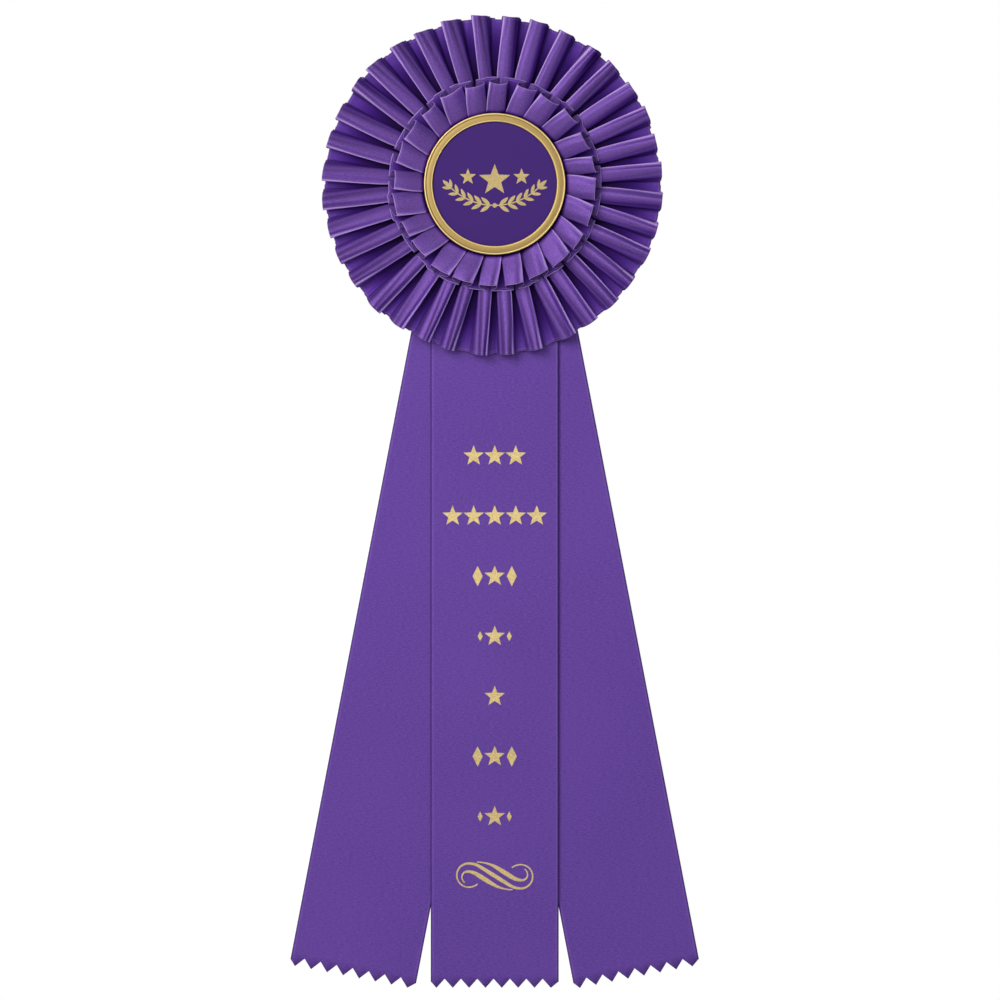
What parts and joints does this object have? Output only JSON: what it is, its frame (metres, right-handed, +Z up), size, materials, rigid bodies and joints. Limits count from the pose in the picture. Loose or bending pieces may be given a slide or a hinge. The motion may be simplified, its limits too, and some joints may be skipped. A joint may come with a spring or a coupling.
{
  "type": "award ribbon",
  "caption": "Award rosette of pleated satin with a gold-rimmed centre button, three fanned pinked streamers and a bar pin on its back.",
  "frame": {"origin": "on the axis of the bar pin's needle, midway along the bar, where the cloth that the rosette is pinned to lies", "axes": "+Z up as the rosette hangs, -Y out of its front, +X to the right as seen from the front and along the needle towards its tip"},
  "size_m": [0.1622, 0.0215, 0.3865],
  "materials": {
    "satin": "purple acetate satin with a fine rib",
    "thread": "matt sewing thread",
    "glue": "hot-melt glue",
    "chipboard": "grey-brown board",
    "back_board": "white coated card",
    "foam": "white foam tape, matt",
    "tinplate": "pressed tinplate",
    "print_face": "printed purple disc under a clear film",
    "gold_rim": "satin gold plate",
    "gold_foil": "hot-stamped matt gold foil",
    "pin_steel": "nickel-plated steel"
  },
  "bodies": {
    "rosette": {"outer_ruffle": "satin", "outer_thread": "thread", "outer_glue": "glue", "base_card": "chipboard", "inner_ruffle": "satin", "inner_thread": "thread", "inner_glue": "glue", "inner_card": "chipboard", "button_back": "tinplate", "button_disc": "print_face", "button_rim": "gold_rim", "button_emblem": "gold_foil", "streamer_staple": "pin_steel", "tape_pads": "foam", "back_card": "back_board", "pin_pad": "foam", "pin_bar": "pin_steel", "hinge_rivet": "pin_steel"},
    "streamer_head": {"centre_streamer_head": "satin"},
    "centre_streamer": {"centre_streamer": "satin", "star_foil": "gold_foil", "scroll_foil": "gold_foil"},
    "left_streamer": {"left_streamer": "satin"},
    "right_streamer": {"right_streamer": "satin"},
    "needle": {"pin_needle": "pin_steel"},
    "catch": {"safety_catch": "pin_steel"}
  },
  "joints": [
    {"name": "centre_streamer_swing", "type": "hinge", "parent": "rosette", "child": "streamer_head", "pos_m": [0, -0.00765, -0.0364], "axis": [0, 1, 0], "range_deg": [-10, 10]},
    {"name": "centre_streamer_lift", "type": "hinge", "parent": "streamer_head", "child": "centre_streamer", "pos_m": [0, -0.00765, -0.0885], "axis": [-1, 0, 0], "range_deg": [0, 75]},
    {"name": "left_streamer_swing", "type": "hinge", "parent": "rosette", "child": "left_streamer", "pos_m": [0, -0.00705, -0.0364], "axis": [0, 1, 0], "range_deg": [-10.9, 8]},
    {"name": "right_streamer_swing", "type": "hinge", "parent": "rosette", "child": "right_streamer", "pos_m": [0, -0.00645, -0.0364], "axis": [0, -1, 0], "range_deg": [-10.9, 8]},
    {"name": "needle_hinge", "type": "hinge", "parent": "rosette", "child": "needle", "pos_m": [-0.017, 0, 0], "axis": [0, 0, 1], "range_deg": [0, 75]},
    {"name": "catch_turn", "type": "hinge", "parent": "rosette", "child": "catch", "pos_m": [0.0153, 0, 0], "axis": [1, 0, 0], "range_deg": [0, 110]}
  ]
}
